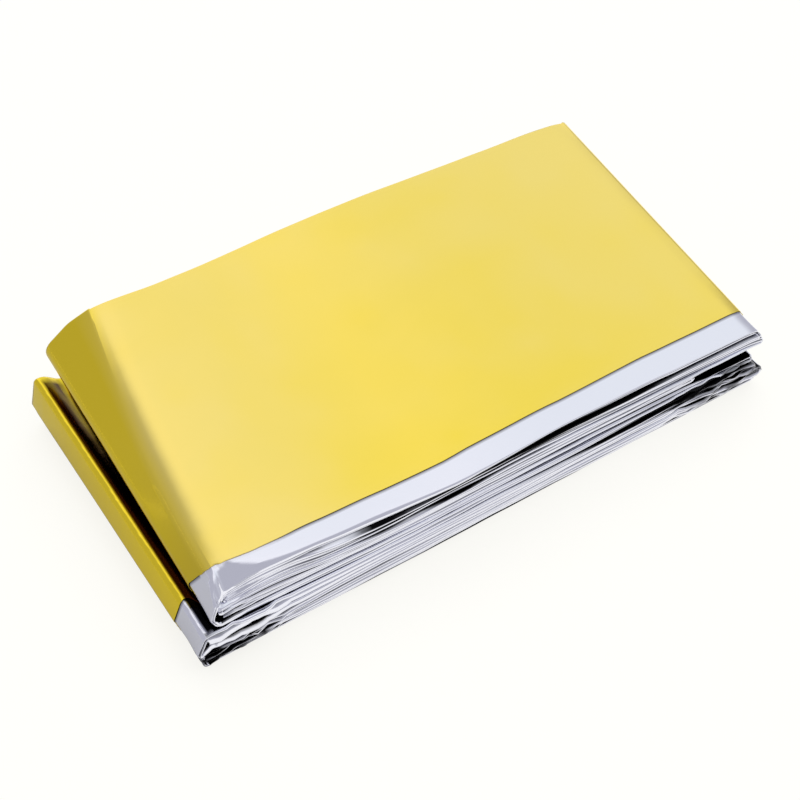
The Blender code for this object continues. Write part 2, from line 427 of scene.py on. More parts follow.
# %% Dark lines
LINE_COLUMNS = ("name", "-8", "4", "12", "22", "34", "50", "66", "83", "100", "118", "130", "142")
LINE_ROWS = (
    ("lower_1", 0.60, 0.60, 0.20, 0.20, 0.80, 1.10, 1.00, 0.60, 0.30, 0.20, 0.50, 0.50),
    ("lower_2", 0.90, 0.90, 0.10, 0.06, 0.08, 0.30, 0.35, 0.20, 0.06, 0.10, 0.40, 0.50),
    ("lower_3", 1.20, 1.00, 0.10, 0.06, 0.10, 0.20, 0.08, 0.08, 0.06, 0.10, 0.50, 0.60),
    ("lower_4", 1.00, 0.80, 0.10, 0.08, 0.30, 0.20, 0.15, 0.06, 0.05, 0.20, 0.70, 0.60),
    ("lower_5", 1.10, 0.80, 0.12, 0.35, 0.25, 0.08, 0.06, 0.08, 0.15, 0.50, 1.00, 0.70),
    ("lower_6", 1.00, 0.80, 0.40, 0.15, 0.08, 0.08, 0.08, 0.12, 0.25, 0.90, 1.00, 0.70),
    ("lower_7", 0.40, 0.30, 0.10, 0.10, 0.15, 0.25, 0.35, 0.40, 0.90, 1.00, 0.90, 0.60),
    ("under", 0.50, 0.12, 0.10, 0.12, 0.08, 0.15, 0.06, 0.08, 0.06, 0.12, 0.15, 0.30),
    ("inner_1", 0.60, 0.30, 0.10, 0.15, 0.10, 0.25, 0.25, 0.35, 0.15, 0.30, 1.00, 1.00),
    ("inner_2", 0.40, 0.20, 0.08, 0.08, 0.20, 0.25, 0.20, 0.12, 0.35, 0.50, 1.00, 1.00),
    ("inner_3", 0.30, 0.20, 0.10, 0.20, 0.30, 0.35, 0.45, 0.45, 0.15, 0.60, 1.00, 1.00),
    ("inner_4", 0.20, 0.12, 0.12, 0.15, 0.40, 0.60, 0.50, 0.30, 0.30, 0.25, 0.25, 0.30),
    ("inner_5", 0.20, 0.12, 0.15, 0.40, 1.00, 1.10, 1.00, 0.70, 0.40, 0.30, 0.25, 0.20),
    ("top", 0.20, 0.12, 0.15, 0.20, 0.60, 0.90, 1.20, 1.10, 0.90, 0.50, 0.35, 0.35),
)
LINES = table(LINE_COLUMNS, LINE_ROWS)
LINE_X = np.array([float(name) for name in LINE_COLUMNS[1:]])


def dark_line(side):
    """Width of the dark line above (+1) or below (-1) each point of the strip at the front: its row
    read at x, times 1 + 0.3 of a waver. The line in a panel's row is the one below it, and the lowest
    panel's is next to the table."""
    found = np.zeros(len(X_FRONT))
    for number, name in enumerate(ORDER):
        level = STACK.index(name) + (side > 0)
        mine = OWNER == number
        if level < len(STACK):
            line = np.interp(X_FRONT[mine], LINE_X, list(LINES[STACK[level]].values()))
            found[mine] = line * (1.0 + 0.3 * waver(X_FRONT[mine], 11.0, 40 + level))
    return found


print("dark lines are up to", round(dark_line(1).max(), 2), "mm wide")

# %% [markdown]
# ## Leaves that fill the rest
# Each panel gets two leaves at its edges with a groove between them, for its bunch of plies. They
# swell into the free air next to them until only the dark line is left, and are pinched a little
# where the pack is pressed.

# %% Free air beside the edges
MOST_SWELL, MOST_PINCH = 1.7, 0.28


def free_air(side):
    """Half the air above (+1) or below (-1) each point of the strip at the front, after the dark line
    that stays open there and the share that the sagging lip takes up."""
    air = np.zeros(len(X_FRONT))
    for number, name in enumerate(ORDER):
        level = STACK.index(name) + (side > 0)
        mine = OWNER == number
        if 0 < level < len(STACK):
            x = X_FRONT[mine]
            here = height(STACK[level], x, 0.0) - height(STACK[level - 1], x, 0.0)
            share = SAG_SHARE.get(STACK[level], 0.0) - SAG_SHARE.get(STACK[level - 1], 0.0)
            air[mine] = here - STRIP_THICKNESS - share * np.interp(x, TOP_X, LIP_DROP)
    return np.clip(0.5 * (air - dark_line(side)), -MOST_PINCH, MOST_SWELL)


air_above, air_below = free_air(1), free_air(-1)
GOLD_SWELL = averaged(np.where(FLAT, np.where(RUNS_RIGHT, air_below, air_above), 0.0), 7)
SILVER_SWELL = averaged(np.where(FLAT, np.where(RUNS_RIGHT, air_above, air_below), 0.0), 7)
print("leaves swell by up to", round(GOLD_SWELL.max(), 2), "mm")

# %% [markdown]
# ## The bare margin and the groove
# The gold lacquer stops short of the sheet's long edge. The front of each gold ply is therefore a
# strip of bare silver film, about 6 mm wide along most of the pack and wider where the wrap bends. The
# groove between the two leaves is a tenth of a millimetre or so, and no leaf stands quite upright.

# %% Margin and groove
HALF = 0.5 * STRIP_THICKNESS
MARGIN_X = (
    -12.0, -9.5, -8.0, -7.0, -6.0, -4.6, -3.3, -0.9, 2.0, 8.7, 17.5, 25.0, 40.0, 60.0, 86.0, 115.0, 143.0,
)
MARGIN_WIDTH = (10.2, 10.2, 11.0, 10.5, 8.5, 6.9, 5.5, 4.3, 4.4, 4.8, 5.3, 5.5, 5.8, 6.5, 6.2, 7.0, 7.1)
MARGIN = np.interp(X_FRONT, MARGIN_X, MARGIN_WIDTH)
STEP_DOWN = 0.26
GROOVE_DEPTH = 3.4
GROOVE = np.clip(0.05 + 0.06 * waver(RUN, 33.0, 11) + 0.03 * waver(RUN, 7.0, 12), 0.01, 0.3)
GROOVE = GROOVE + 0.16 * (OWNER == ORDER.index("top")) * ease((X_FRONT - 20.0) / 20.0)
MIDDLE = 0.07 * waver(RUN, 47.0, 13)
SET_BACK_UPPER = 0.2 + 0.2 * waver(RUN, 29.0, 14)
SET_BACK_LOWER = 0.2 + 0.2 * waver(RUN, 37.0, 15)
TILT_UPPER = UPWARD * (0.3 + 0.45 * waver(RUN, 43.0, 16) + 0.2 * waver(RUN, 9.0, 17))
TILT_LOWER = UPWARD * (0.3 + 0.45 * waver(RUN, 53.0, 18) + 0.2 * waver(RUN, 8.0, 19))
print("margin", round(MARGIN.min(), 1), "to", round(MARGIN.max(), 1), "mm")
print("groove up to", round(GROOVE.max(), 2), "mm")

# %% [markdown]
# ## Noses of the leaves
# Folded edges of film are round. Every point of the strip's cross-section is a pair of arrays along
# the strip: how far it is from the front edge, and how far it stands off the middle line. A nose is
# a short list of such pairs.

# %% Noses


def fade(y, reach=2.6):
    """exp(-(y / reach)²): how much of a swell is left at y from the edge."""
    return np.exp(-(y / reach) ** 2)


def nose(upper, lower, set_back, tilt, angles):
    """A lip between two heights: y = set back + 0.5 r (1 - cos a) + tilt * r sin a, height = middle +
    r sin a. The tilt leans the lip's face up or down, and its least y stays at the set-back."""
    radius, middle = 0.5 * (upper - lower), 0.5 * (upper + lower)
    turns = np.radians(angles)
    least = radius * (0.5 - np.sqrt(0.25 + tilt ** 2))
    return [
        (
            set_back - least + radius * (0.5 * (1.0 - np.cos(a)) + tilt * np.sin(a)),
            middle + radius * np.sin(a),
        )
        for a in turns
    ]


def mirrored(points):
    """The same points at the back edge, met in the opposite order: y becomes width - y."""
    return [(WIDTH - y, off) for y, off in reversed(points)]


LIP = HALF - STEP_DOWN + 0.18 + GOLD_SWELL
FLANK_GOLD, FLANK_SILVER = HALF + GOLD_SWELL, -HALF - SILVER_SWELL
upper_groove, lower_groove = MIDDLE + 0.5 * GROOVE, MIDDLE - 0.5 * GROOVE
leaf = LIP - upper_groove
print("the upper leaf is", round(leaf.min(), 2), "to", round(leaf.max(), 2), "mm thick")

# %% [markdown]
# ## Round the gold side
# Cut across the strip and follow its skin once round. It starts with the gold face from the back to
# the front, then a small step down where the gold ply ends, and the bare margin on the ply below.

# %% Gold face, step and margin
face_y = MARGIN + 2.0 + (WIDTH - MARGIN - 2.8) * spread(14)[::-1, None]
gold_face = [(y, HALF + GOLD_SWELL * fade(WIDTH - y)) for y in face_y]
gold_edge = [(MARGIN + 1.0, HALF), (MARGIN + 0.3, HALF), (MARGIN + 0.06, HALF - 0.02), (MARGIN, HALF - 0.09)]
under_step = [(MARGIN + 0.08, HALF - 0.15), (MARGIN + 0.5, HALF - 0.20), (MARGIN + 0.1, HALF - STEP_DOWN)]
margin = [
    (y, HALF - STEP_DOWN + 0.2 * fade(y, 3.0) + GOLD_SWELL * fade(y))
    for y in (MARGIN - 0.8, 0.7 * MARGIN, 0.5 * MARGIN, 0.36 * MARGIN, 1.5, 1.0, 0.65)
]
print(len(gold_face + gold_edge), "points on gold,", len(under_step + margin), "on the step and the margin")

# %% [markdown]
# ## Round the front and the silver side
# Then come the nose of the upper leaf, the groove, the nose of the lower leaf and the silver face,
# which ends in the same noses at the back edge.

# %% Front, silver face and back
front_upper = nose(LIP, upper_groove, SET_BACK_UPPER, TILT_UPPER, (62, 35, 10, -15, -42, -72))
GROOVE_ROUND = (
    (1.6, 0.5), (GROOVE_DEPTH, 0.2), (GROOVE_DEPTH + 0.3, 0.0), (GROOVE_DEPTH, -0.2), (1.6, -0.5),
)
groove = [(y, MIDDLE + share * GROOVE) for y, share in GROOVE_ROUND]
front_lower = nose(lower_groove, FLANK_SILVER, SET_BACK_LOWER, TILT_LOWER, (72, 42, 15, -10, -35, -62))
silver_front = [(y, -HALF - SILVER_SWELL * fade(y)) for y in (0.6, 1.0, 1.6, 2.8, 5.5)]
silver_y = 9.0 + (WIDTH - 11.0) * np.linspace(0, 1, 9)[:, None]
silver_face = [(y, -HALF - SILVER_SWELL * fade(WIDTH - y)) for y in silver_y]
back_lower = mirrored(nose(lower_groove, FLANK_SILVER, SET_BACK_LOWER, TILT_LOWER, (66, 20, -20, -62)))
back_groove = [
    (WIDTH - y, MIDDLE + share * GROOVE) for y, share in ((1.6, -0.5), (GROOVE_DEPTH, 0.0), (1.6, 0.5))
]
back_upper = mirrored(nose(FLANK_GOLD, upper_groove, SET_BACK_UPPER, TILT_UPPER, (62, 20, -20, -66)))
print(len(front_upper + groove + front_lower), "points on the front's two noses and their groove")

# %% [markdown]
# ## The whole skin
# Those pairs side by side are the whole surface: one array of distances from the front edge and one
# of distances off the middle line. Each point also knows which film it is on.

# %% Outline
GOLD, SILVER = 0, 1
silver_skin = (
    under_step + margin + front_upper + groove + front_lower + silver_front + silver_face + back_lower
)
OUTLINE = ((GOLD, gold_face + gold_edge), (SILVER, silver_skin), (GOLD, back_groove + back_upper))
SKIN = np.concatenate([np.full(len(points), skin) for skin, points in OUTLINE])
Y, OFF = (
    np.stack([np.broadcast_to(point[axis], RUN.shape) for _, points in OUTLINE for point in points], axis=1)
    for axis in (0, 1)
)
ROUND_STEP = np.arange(len(SKIN))
PAST_GOLD_FACE = ROUND_STEP > len(gold_face)
print(Y.shape[1], "points round the strip,", Y.size, "in all")

# %% [markdown]
# ## From the strip to the pack
# Each point takes the middle line's place and direction at its own distance from the front, between
# two of the nine stations. From there it steps off along the normal.

# %% Places between the stations


def at_stations(values):
    """Values given at the stations, read at each point's own share of the way from front to back, in
    proportion between the two nearest."""
    share = np.clip(Y / WIDTH[:, None], 0.0, 1.0) * (len(STATIONS) - 1)
    low = np.minimum(share.astype(int), len(STATIONS) - 2)
    row = np.arange(len(RUN))[:, None]
    part = (share - low)[..., None]
    return values[low, row] * (1.0 - part) + values[low + 1, row] * part


MIDDLE_PLACE, MIDDLE_NORMAL = at_stations(LINE), at_stations(NORMAL)
print("middle line, highest point:", round(MIDDLE_PLACE[..., 1].max(), 1), "mm")

# %% [markdown]
# ## Crushed corners
# Where a pack is handled most, at the front of its left end and at the right end of the lower layers,
# the edges of the plies are crushed. Small buckles there push the edge in and out and up and down,
# each leaf with its own.

# %% Buckles
UPPER = ("under", "inner_1", "inner_2", "inner_3", "inner_4", "inner_5", "top")
LOWER = ("lower_2", "lower_3", "lower_4", "lower_5", "lower_6", "lower_7")


def zone(names, x_from, x_to, soft=8.0):
    """1 on the named panels between two x's, eased to 0 over a soft border."""
    inside = ease((X_FRONT - x_from) / soft + 0.5) * ease((x_to - X_FRONT) / soft + 0.5)
    return inside * np.isin(OWNER, [ORDER.index(name) for name in names])


CRUSHED = np.clip(
    0.35 * zone(UPPER[:-1], -20.0, 4.0)
    + 1.0 * zone(LOWER, -20.0, 11.0)
    + 0.9 * zone(LOWER, 116.0, 160.0)
    + 0.03,
    0.0,
    1.2,
)[:, None]
NEAR_FRONT = fade(Y, 7.0) * PAST_GOLD_FACE
UPPER_LEAF_END = len(gold_face + gold_edge + under_step + margin + front_upper) + 2
LEAF = np.where(ROUND_STEP < UPPER_LEAF_END, 0.0, 40.0)
ALONG = np.broadcast_to(RUN[:, None], Y.shape)
buckle_y = 0.55 * waver_2d(ALONG, LEAF, 3.7, 7.0, 21) + 0.3 * waver_2d(ALONG, LEAF + 3.0, 1.6, 7.0, 22)
buckle_off = 0.16 * waver_2d(ALONG + 0.6 * Y, Y + LEAF, 3.1, 2.2, 23)
print("buckles of up to", round(float(np.abs(CRUSHED * NEAR_FRONT * buckle_y).max()), 2), "mm")

# %% [markdown]
# ## Sag, roll and swing
# The lip hangs straight down past a line where the top panel loses its support, with a soft bend at
# that line. The top's back edge rolls down a little, and its broad face swings by a tenth of a
# millimetre, as a loose sheet does.

# %% Lip, back edge and broad face
IS_TOP = (OWNER == ORDER.index("top"))[:, None]
ON_TOP = IS_TOP * FLAT[:, None]
x_column = X_FRONT[:, None]
drop = np.interp(x_column, TOP_X, LIP_DROP)
mean_top_front = edge_drift("front_edge", 0.0)[OWNER == ORDER.index("top")].mean()
top_front = mean_top_front + np.interp(x_column, TOP_X, TOP_BACK)
past_lip = top_front + drop / LIP_SLOPE - FRONT[:, None] - Y
flap = SHARES[:, None] * np.minimum(0.5 * LIP_SLOPE * (past_lip + np.sqrt(past_lip ** 2 + 0.1)), drop + 0.1)
roll = 0.35 * ON_TOP * np.clip(1.0 - (WIDTH[:, None] - Y) / 6.0, 0.0, 1.0) ** 2
swing = 0.10 * ON_TOP * waver_2d(np.broadcast_to(x_column, Y.shape), Y, 31.0, 24.0, 31)
print("film hangs by up to", round(float(flap.max()), 1), "mm")

# %% [markdown]
# ## The pack's skin in space
# Middle line, normal, buckles and sag come together here. Nothing goes below the surface that the
# pack lies on. The tables' millimetres become metres round the middle of the pack.

# %% Points in space
stand_off = OFF + CRUSHED * NEAR_FRONT * buckle_off - roll + swing
points = np.stack(
    [
        MIDDLE_PLACE[..., 0] + MIDDLE_NORMAL[..., 0] * stand_off,
        FRONT[:, None] + Y + CRUSHED * NEAR_FRONT * buckle_y,
        np.maximum(MIDDLE_PLACE[..., 1] + MIDDLE_NORMAL[..., 1] * stand_off - flap, 0.0),
    ],
    axis=-1,
)
points[..., :2] -= CENTRE
points *= MM
print("film's box in mm:", np.round(points.min((0, 1)) / MM, 1), np.round(points.max((0, 1)) / MM, 1))

# %% [markdown]
# ## Painted shade where light is lost
# Between plies of mirror film light is thrown to and fro until hardly any comes back, so real gaps are nearly
# black with a brown glow on the gold side. That darkness is painted into the film's colour as a shade tone
# per point, from 0 in the open to 1 deep inside. The first part depends only on the place round the outline:
# the grooves and the wall of the ply step get painted shade.

# %% Tone round the outline
# Painted shade by place round the outline: dark on the step's wall and in the grooves.
SHADE_ROUND = np.concatenate(
    [np.zeros(len(gold_face + gold_edge)), [0.0, 0.9, 0.9], np.zeros(len(margin)),
     [0.0, 0.0, 0.0, 0.0, 0.25, 0.7], np.ones(len(groove)), [0.7, 0.25, 0.0, 0.0, 0.0, 0.0],
     np.zeros(len(silver_front + silver_face)),
     [0.0, 0.0, 0.1, 0.5], np.ones(len(back_groove)), [0.5, 0.1, 0.0, 0.0]]
)
GOLD_SIDE = ROUND_STEP < len(gold_face + gold_edge + under_step + margin) + 2
SILVER_SIDE = np.isin(ROUND_STEP, len(SKIN) - 12 - np.arange(len(silver_front + silver_face) + 2))
print(np.count_nonzero(SHADE_ROUND), "of", len(SKIN), "points round the strip are in a groove or a step")

# %% [markdown]
# ## Painted shade on faces shut in between panels
# An upper face gets painted shade from where the next panel's edge covers it, and a lower face from just
# behind its own edge. The pack's ends stay open to the light and get none, and so does the back for a
# millimetre or two.

# %% Shut-in faces


def front_of_panel_above():
    """Each point's distance from its own front edge to that of the panel above it, at the same x."""
    found = np.full(len(X_FRONT), -5.0)
    for low in range(len(STACK) - 1):
        mine, above = LEVEL == low, np.flatnonzero(LEVEL == low + 1)
        above = above[np.argsort(X_FRONT[above])]
        found[mine] = np.interp(X_FRONT[mine], X_FRONT[above], FRONT[above]) - FRONT[mine]
    return found[:, None]


def painted_gap_shade(faces_up):
    """How much painted shade a face of the strip gets where it is shut in: an upper face eased to 1 over 0.35
    mm from where the next panel's edge covers it, a lower one over 1 mm behind its own edge, both 0 at the
    back."""
    open_rim = np.where(LEVEL == STACK.index("lower_7"), ease((X_FRONT + 8.3) / 0.4), FLAT)[:, None]
    up = (LEVEL < len(STACK) - 1)[:, None] * open_rim * ease((Y - front_of_panel_above() - 0.05) / 0.35)
    down = (LEVEL > 0)[:, None] * FLAT[:, None] * ease((Y - 0.3) / 1.0)
    from_back = ease((WIDTH[:, None] - Y - 0.5) / 1.2)
    return np.where(faces_up[:, None], up, down) * from_back


# Painted shade on the shut-in faces of the gold side and of the silver side.
covered_face_shade = painted_gap_shade(~RUNS_RIGHT) * GOLD_SIDE + painted_gap_shade(RUNS_RIGHT) * SILVER_SIDE
shade = np.maximum(np.broadcast_to(SHADE_ROUND, Y.shape), covered_face_shade)
print("share of the skin that is shut in:", round(float((shade > 0.5).mean()), 2))

# %% [markdown]
# ## Painted shade beside the lines and in the crushed corners
# A leaf's nose turns its upper and lower part into the line beside it, so that part gets painted shade too.
# In the crushed corners painted shade in small patches stands for the buckles shading each other.

# %% Dark lips and patches


def lip_shade_beside_lines():
    """Painted shade on the faces of a lip next to a dark line, over a band of 0.45 of the line's width from
    the lip's own top or bottom."""
    swell_up = np.where(RUNS_RIGHT, SILVER_SWELL, GOLD_SWELL)
    swell_down = np.where(RUNS_RIGHT, GOLD_SWELL, SILVER_SWELL)
    raised = UPWARD[:, None] * OFF
    above, below = dark_line(1)[:, None] - 0.15, dark_line(-1)[:, None] - 0.15
    dark_above = ease((0.45 * above - (HALF + swell_up)[:, None] + raised) / 0.2) * (above > 0.0)
    dark_below = ease((0.45 * below - (HALF + swell_down)[:, None] - raised) / 0.2) * (below > 0.0)
    return np.maximum(dark_above, dark_below) * (Y < 1.3) * FLAT[:, None]


# Painted shade in small noisy patches at the crushed ends of the lower panels.
PAINTED_PATCH_ZONE = (zone(LOWER[:-2], -20.0, 8.0, 5.0) + 0.8 * zone(LOWER, 124.0, 160.0, 12.0))[:, None]
crushed_painted_shade = PAINTED_PATCH_ZONE * ease(0.55 + 1.1 * waver_2d(ALONG + 1.5 * Y, LEAF + Y, 2.6, 1.6, 24))
shade = np.maximum(shade, np.maximum(lip_shade_beside_lines(), crushed_painted_shade * fade(Y, 4.0) * PAST_GOLD_FACE))
print("share that is dark now:", round(float((shade > 0.5).mean()), 2))

# %% [markdown]
# ## Painted light that still gets in
# Under the sagging lip the plies stand open and catch light from the left, so the painted shade there is
# mostly lifted. Inside the open loop of the lower bundle, painted streaks of gold run in from the rim,
# standing for creases in the film that send light back.

# %% Lit gap and streaks
lit_gap = zone(("inner_3", "inner_4", "inner_5", "top"), -20.0, 12.0, 12.0)[:, None] * (Y < 8.0)
# Painted shade lifted by up to 85% under the lip, as painted light.
shade = shade * (1.0 - 0.85 * lit_gap)
inwards = ease((Y / WIDTH[:, None] - 0.55) / 0.45)
# Painted streaks of reflected gold light inside the open loop.
painted_glint_streaks = ease(0.5 + 0.9 * waver_2d(MIDDLE_PLACE[..., 0], Y, 0.9, 13.0, 25)) * inwards
in_loop = (LEVEL == STACK.index("lower_7"))[:, None] * (X_FRONT < -2.0)[:, None]
shade = shade * (1.0 - 0.55 * painted_glint_streaks * in_loop)
print("mean tone under the lip:", round(float(shade[lit_gap > 0.5].mean()), 2))

# %% [markdown]
# ## Painted shade on the slope and painted sheen on the top
# The slope at the left end turns away from the light and gets painted shade, most at the front. On the broad
# top a painted sheen stands for the mirror's reflection of the bright tent: palest next to the crease, with a
# soft painted mottling where the loose film would bend the reflection.

# %% Tones of the top
share_back = np.clip(Y / WIDTH[:, None], 0.0, 1.0)
crease = crease_at(share_back)
towards_front = 1.0 - share_back
middle_x = MIDDLE_PLACE[..., 0]
# Painted shade on the slope at the left end, darker towards the front.
slope_shade_mask = IS_TOP * ease((crease + 0.3 - middle_x) / 1.2) * (ROUND_STEP < len(gold_face + gold_edge))
shade = np.maximum(shade, slope_shade_mask * (0.08 + 0.22 * ease((towards_front - 0.5) / 0.45)))
# Painted sheen: the tent's reflection painted into the gold tone, with painted mottling.
painted_sheen = IS_TOP * ease((middle_x - crease + 2.0) / 5.0) * (
    1.0 - (0.25 + 0.4 * towards_front) * ease((middle_x - 8.0) / 46.0) + 0.25 * ease((middle_x - 70.0) / 50.0)
    + 0.14 * waver_2d(middle_x + 0.3 * Y, Y, 19.0, 12.0, 26) + 0.08 * waver_2d(middle_x, Y, 6.0, 5.0, 27)
)
print("paleness from", round(float(painted_sheen.min()), 2), "to", round(float(painted_sheen.max()), 2))

# %% [markdown]
# ## One mesh from the grid
# The grid's rows go along the strip and its columns round it. Each four neighbours make a face, the
# last column joins the first, and one polygon closes each free end. The UV map is the skin laid flat
# in metres, so that wrinkles follow the film round every fold.

# %% Mesh maker


def mesh_of(name, grid, skin, distance_round, distance_along, tones):
    """A closed tube through a grid of points (rows along it, columns round it), with a flat cap at each
    end. UV: u is the distance round, v the distance along. Each tone is a value per point."""
    rows, columns = grid.shape[:2]
    row, column = np.meshgrid(np.arange(rows - 1), np.arange(columns), indexing="ij")
    beside = (column + 1) % columns
    quads = np.stack([row * columns + column, row * columns + beside,
                      (row + 1) * columns + beside, (row + 1) * columns + column], axis=-1).reshape(-1, 4)
    caps = np.stack([np.arange(columns)[::-1], np.arange(columns) + (rows - 1) * columns])
    loops = np.concatenate([quads.ravel(), caps.ravel()])
    sizes = np.concatenate([np.full(len(quads), 4), np.full(2, columns)])
    mesh = bpy.data.meshes.new(name)
    mesh.vertices.add(rows * columns)
    mesh.vertices.foreach_set("co", grid.ravel())
    mesh.loops.add(len(loops))
    mesh.loops.foreach_set("vertex_index", loops)
    mesh.polygons.add(len(sizes))
    mesh.polygons.foreach_set("loop_start", np.concatenate([[0], np.cumsum(sizes)[:-1]]))
    mesh.polygons.foreach_set("material_index", np.concatenate([skin[column].ravel(), [SILVER, SILVER]]))
    mesh.polygons.foreach_set("use_smooth", np.concatenate([np.ones(len(quads), bool), [False, False]]))
    mesh.update(calc_edges=True)
    u = np.stack([distance_round[row, column], distance_round[row, column + 1],
                  distance_round[row + 1, column + 1], distance_round[row + 1, column]], axis=-1).ravel()
    v = np.stack([distance_along[row], distance_along[row],
                  distance_along[row + 1], distance_along[row + 1]], axis=-1).ravel()
    flat = np.zeros((len(loops), 2))
    flat[:len(u)] = np.stack([u, v], axis=-1)
    mesh.uv_layers.new(name="film").data.foreach_set("uv", flat.ravel())
    for tone, values in tones.items():
        attribute = mesh.attributes.new(tone, "FLOAT", "POINT")
        attribute.data.foreach_set("value", values.astype(np.float32).ravel())
    return mesh


print("grid of", points.shape[0], "rows and", points.shape[1], "columns")

# %% [markdown]
# ## Facing outwards
# A closed skin has its faces turned outwards when the volume inside comes out positive. If it
# doesn't, the columns are taken in the opposite order.

# %% Film
studio = bpy.context.scene


def volume_of(grid):
    """Signed volume of the tube: one sixth of the sum of each triangle's determinant, ends left out."""
    a, b = grid, np.roll(grid, -1, axis=1)
    c, d = np.roll(grid, -1, axis=0)[:-1], np.roll(b, -1, axis=0)[:-1]
    a, b = a[:-1], b[:-1]
    return (np.einsum("ijk,ijk->", a, np.cross(b, d)) + np.einsum("ijk,ijk->", a, np.cross(d, c))) / 6.0


if volume_of(points) < 0.0:
    points, shade, painted_sheen = points[:, ::-1], shade[:, ::-1], painted_sheen[:, ::-1]
    SKIN = np.roll(SKIN[::-1], -1)
around = np.concatenate([points, points[:, :1]], axis=1)
ROUND = np.concatenate(
    [np.zeros((len(RUN), 1)), np.cumsum(np.linalg.norm(np.diff(around, axis=1), axis=2), axis=1)], axis=1
)
TONES = {"shade": shade, "painted_sheen": painted_sheen}
film = bpy.data.objects.new("blanket_film", mesh_of("blanket_film", points, SKIN, ROUND, RUN * MM, TONES))
studio.collection.objects.link(film)
inside = abs(volume_of(points)) / MM ** 3 / 1000.0
print("closed volume:", round(inside, 1), "cm³,", len(film.data.polygons), "faces")

# %% [markdown]
# ## Film with aluminium on it
# Vapour-coated aluminium on polyester film is as smooth as a mirror, and a clear yellow lacquer over it tints
# every reflection gold. So both films are metals with little roughness. The gold goes from a deep tone to a
# pale one, a painted reflection of the bright tent, and to brown, painted shade where light is lost; the bare
# one goes from silver to black, also painted shade.

# %% Helpers for materials


def linear(colour):
    """An sRGB hex colour as linear red, green, blue and full alpha: c / 12.92 for the darkest values,
    and ((c + 0.055) / 1.055) to the power of 2.4 for the others."""
    values = [int(colour[i:i + 2], 16) / 255.0 for i in (1, 3, 5)]
    return [c / 12.92 if c <= 0.04045 else ((c + 0.055) / 1.055) ** 2.4 for c in values] + [1.0]


def add(tree, kind, settings=(), **links):
    """A node of one kind: settings are (name or input, value) pairs, and links are input=socket, where
    i6 means input number 6."""
    made = tree.nodes.new(kind)
    for name, value in settings:
        if isinstance(name, str) and hasattr(made, name):
            setattr(made, name, value)
        else:
            made.inputs[name].default_value = value
    for name, socket in links.items():
        tree.links.new(socket, made.inputs[int(name[1:]) if name[1:].isdigit() else name.replace("_", " ")])
    return made


print("mid grey in linear light:", round(linear("#808080")[0], 3))

# %% [markdown]
# ## Wrinkles
# Film that was folded and handled has soft long wrinkles along the strip. Broad ones about 17 mm
# apart bend the reflections, and fine ones about 2.4 mm apart roughen them. Both are four times as
# long as they are wide.

# %% The two films
BROAD_PER_METRE, FINE_PER_METRE = 60.0, 420.0
LENGTHENED = (1.0, 0.25, 1.0)


def film_material(name, pale, deep, lost, roughness, wrinkle_height):
    """Metallised film: a metal between a deep tone and a pale one for the painted sheen, mixed to nearly
    black by the painted shade where light is lost between the plies, with wrinkles as a bump from two noises
    in the film's own UV map."""
    made = bpy.data.materials.new(name)
    made.use_nodes = True
    tree = made.node_tree
    tree.nodes.clear()
    painted_sheen_part = add(tree, "ShaderNodeAttribute", [("attribute_name", "painted_sheen")])
    tone = add(tree, "ShaderNodeMix", [("data_type", "RGBA"), (6, linear(deep)), (7, linear(pale))],
               i0=painted_sheen_part.outputs["Fac"])
    painted_shade_part = add(tree, "ShaderNodeAttribute", [("attribute_name", "shade")])
    shaded = add(tree, "ShaderNodeMix", [("data_type", "RGBA"), (7, linear(lost))],
                 i0=painted_shade_part.outputs["Fac"], i6=tone.outputs[2])
    where = add(tree, "ShaderNodeTexCoord")
    long_way = add(tree, "ShaderNodeMapping", [("Scale", LENGTHENED)], Vector=where.outputs["UV"])
    broad = add(tree, "ShaderNodeTexNoise", [("Scale", BROAD_PER_METRE), ("Detail", 3.0)],
                Vector=long_way.outputs["Vector"])
    fine = add(tree, "ShaderNodeTexNoise", [("Scale", FINE_PER_METRE), ("Detail", 2.0)],
               Vector=long_way.outputs["Vector"])
    bump = add(tree, "ShaderNodeBump", [("Distance", wrinkle_height)], Height=broad.outputs[0])
    creased = add(tree, "ShaderNodeBump", [("Distance", 0.06 * wrinkle_height)],
                  Height=fine.outputs[0], Normal=bump.outputs["Normal"])
    shader = add(tree, "ShaderNodeBsdfPrincipled",
                 [("Metallic", 1.0), ("Roughness", roughness)],
                 Base_Color=shaded.outputs[2], Normal=creased.outputs["Normal"])
    add(tree, "ShaderNodeOutputMaterial", Surface=shader.outputs["BSDF"])
    return made


# Gold: pale for the painted sheen, deep, and dark brown for painted shade between plies.
GOLD_TONES = ("#FBE27E", "#FCDF3A", "#3A1A08")
# Bare film: silver twice, and near black for painted shade between plies.
BARE_TONES = ("#ECEDF8", "#ECEDF8", "#0A090B")
film.data.materials.append(film_material("gold_lacquered_film", *GOLD_TONES, 0.16, 0.0005))
film.data.materials.append(film_material("bare_aluminised_film", *BARE_TONES, 0.12, 0.0006))
print("skins:", [slot.name for slot in film.data.materials])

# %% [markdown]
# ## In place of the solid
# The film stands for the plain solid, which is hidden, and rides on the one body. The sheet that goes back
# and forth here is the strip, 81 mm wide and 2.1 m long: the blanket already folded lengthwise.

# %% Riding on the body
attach(film, "root")
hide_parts("foil_blanket")

# %% [markdown]
# ## Studio floor
# Foil shows its surroundings more than itself, so the studio decides the look. The floor is an opal
# acrylic sheet lit from below, as in catalogue photos of bright things. A grey card that only mirrors
# see lies to the left of the pack, where the real foil shows the grey side of the tent.

# %% Floor and card
FLOOR_GLOW = 0.84
CARD_RIGHT_EDGE, CARD_HEIGHT = -0.0735, 0.0004


